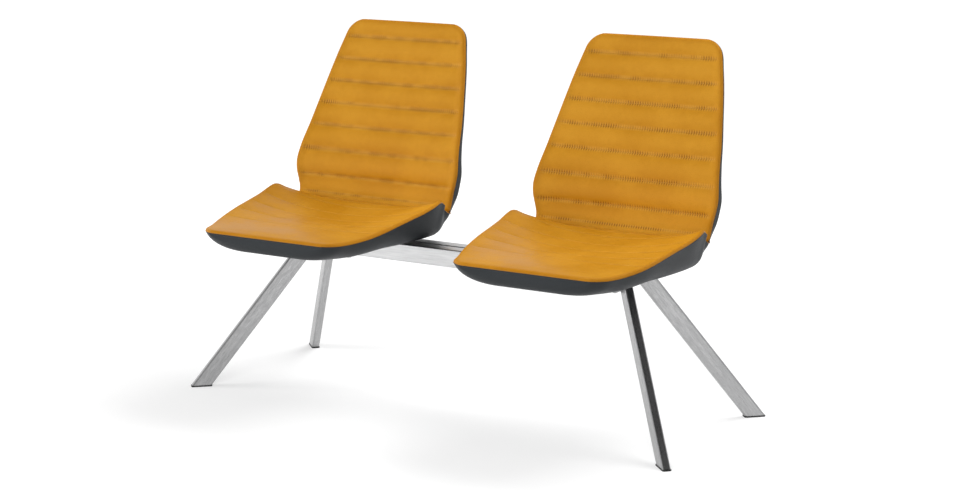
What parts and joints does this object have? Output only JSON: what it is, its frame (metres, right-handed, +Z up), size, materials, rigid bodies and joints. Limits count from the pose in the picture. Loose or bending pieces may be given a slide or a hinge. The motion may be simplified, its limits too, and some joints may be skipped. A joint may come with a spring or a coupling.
{
  "type": "beam seating",
  "caption": "Beam seating with upholstered bucket seats on an aluminium beam with splayed flat-tube legs.",
  "frame": {"origin": "on the floor, under the middle of the whole piece of furniture", "axes": "+X along the beam, to the right of a person who faces the seats; -Y is the way the seats face; +Z is up"},
  "size_m": [1.3474, 0.6452, 0.891],
  "materials": {
    "leather": "satin",
    "shell_plastic": "satin",
    "plywood": "raw",
    "coated_steel": "matt powder coat",
    "beam_aluminium": "satin anodised",
    "leg_steel": "brushed",
    "glide_plastic": "matt",
    "zinc_steel": "zinc plated",
    "peg_plastic": "matt"
  },
  "bodies": {
    "root": {"left_outer_shell": "shell_plastic", "left_inner_board": "plywood", "left_seat_pad": "leather", "left_back_pad": "leather", "left_seat_plate": "coated_steel", "right_outer_shell": "shell_plastic", "right_inner_board": "plywood", "right_seat_pad": "leather", "right_back_pad": "leather", "right_seat_plate": "coated_steel", "beam_profile": "beam_aluminium", "left_leg_bracket": "leg_steel", "left_front_leg": "leg_steel", "left_front_glide": "glide_plastic", "left_rear_leg": "leg_steel", "left_rear_glide": "glide_plastic", "right_leg_bracket": "leg_steel", "right_front_leg": "leg_steel", "right_front_glide": "glide_plastic", "right_rear_leg": "leg_steel", "right_rear_glide": "glide_plastic", "seat_bolts": "zinc_steel", "tee_nuts": "zinc_steel", "spacer_sleeves": "peg_plastic", "back_pegs": "peg_plastic", "plate_screws": "zinc_steel", "slot_nuts": "zinc_steel", "leg_screws": "zinc_steel"}
  },
  "joints": []
}
